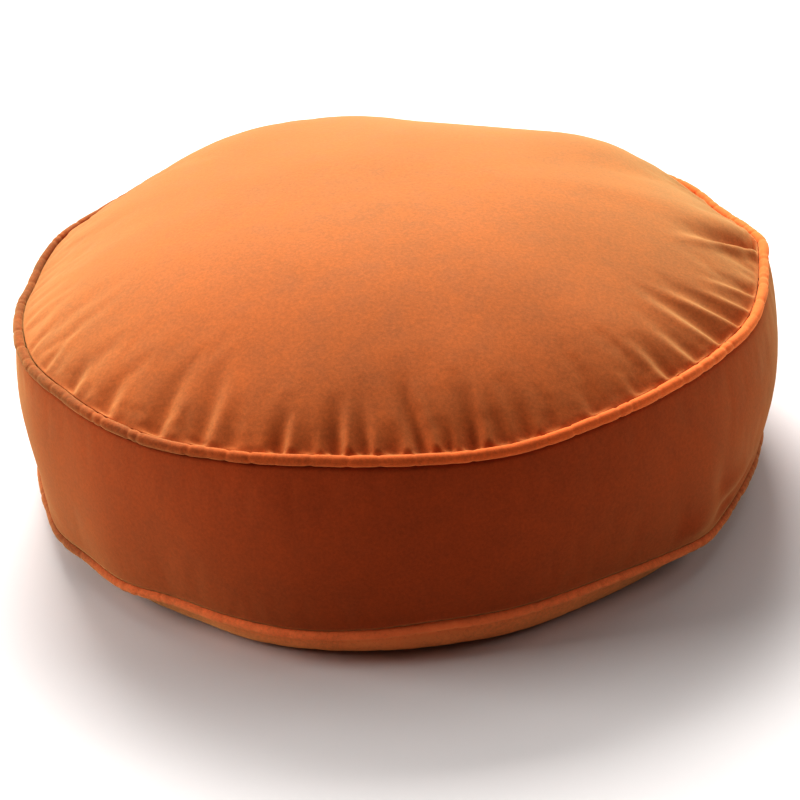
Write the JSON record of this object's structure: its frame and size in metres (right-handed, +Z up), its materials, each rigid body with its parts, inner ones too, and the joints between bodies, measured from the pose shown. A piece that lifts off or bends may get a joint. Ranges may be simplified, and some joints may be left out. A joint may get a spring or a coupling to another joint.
{
  "type": "meditation cushion",
  "caption": "Round boxed floor cushion in velvet, with a domed top, a band and piping in both seams.",
  "frame": {"origin": "on the surface the cushion rests on, under the middle of its outline", "axes": "+Z up through the thickness, -Y towards the pictured front"},
  "size_m": [0.4655, 0.466, 0.186],
  "materials": {
    "velvet": "short-pile velvet, matt with a soft sheen",
    "piping_velvet": "short-pile velvet cut on the bias over cord"
  },
  "bodies": {
    "root": {"cushion_body": "velvet", "piping_top": "piping_velvet", "piping_bottom": "piping_velvet"}
  },
  "joints": []
}
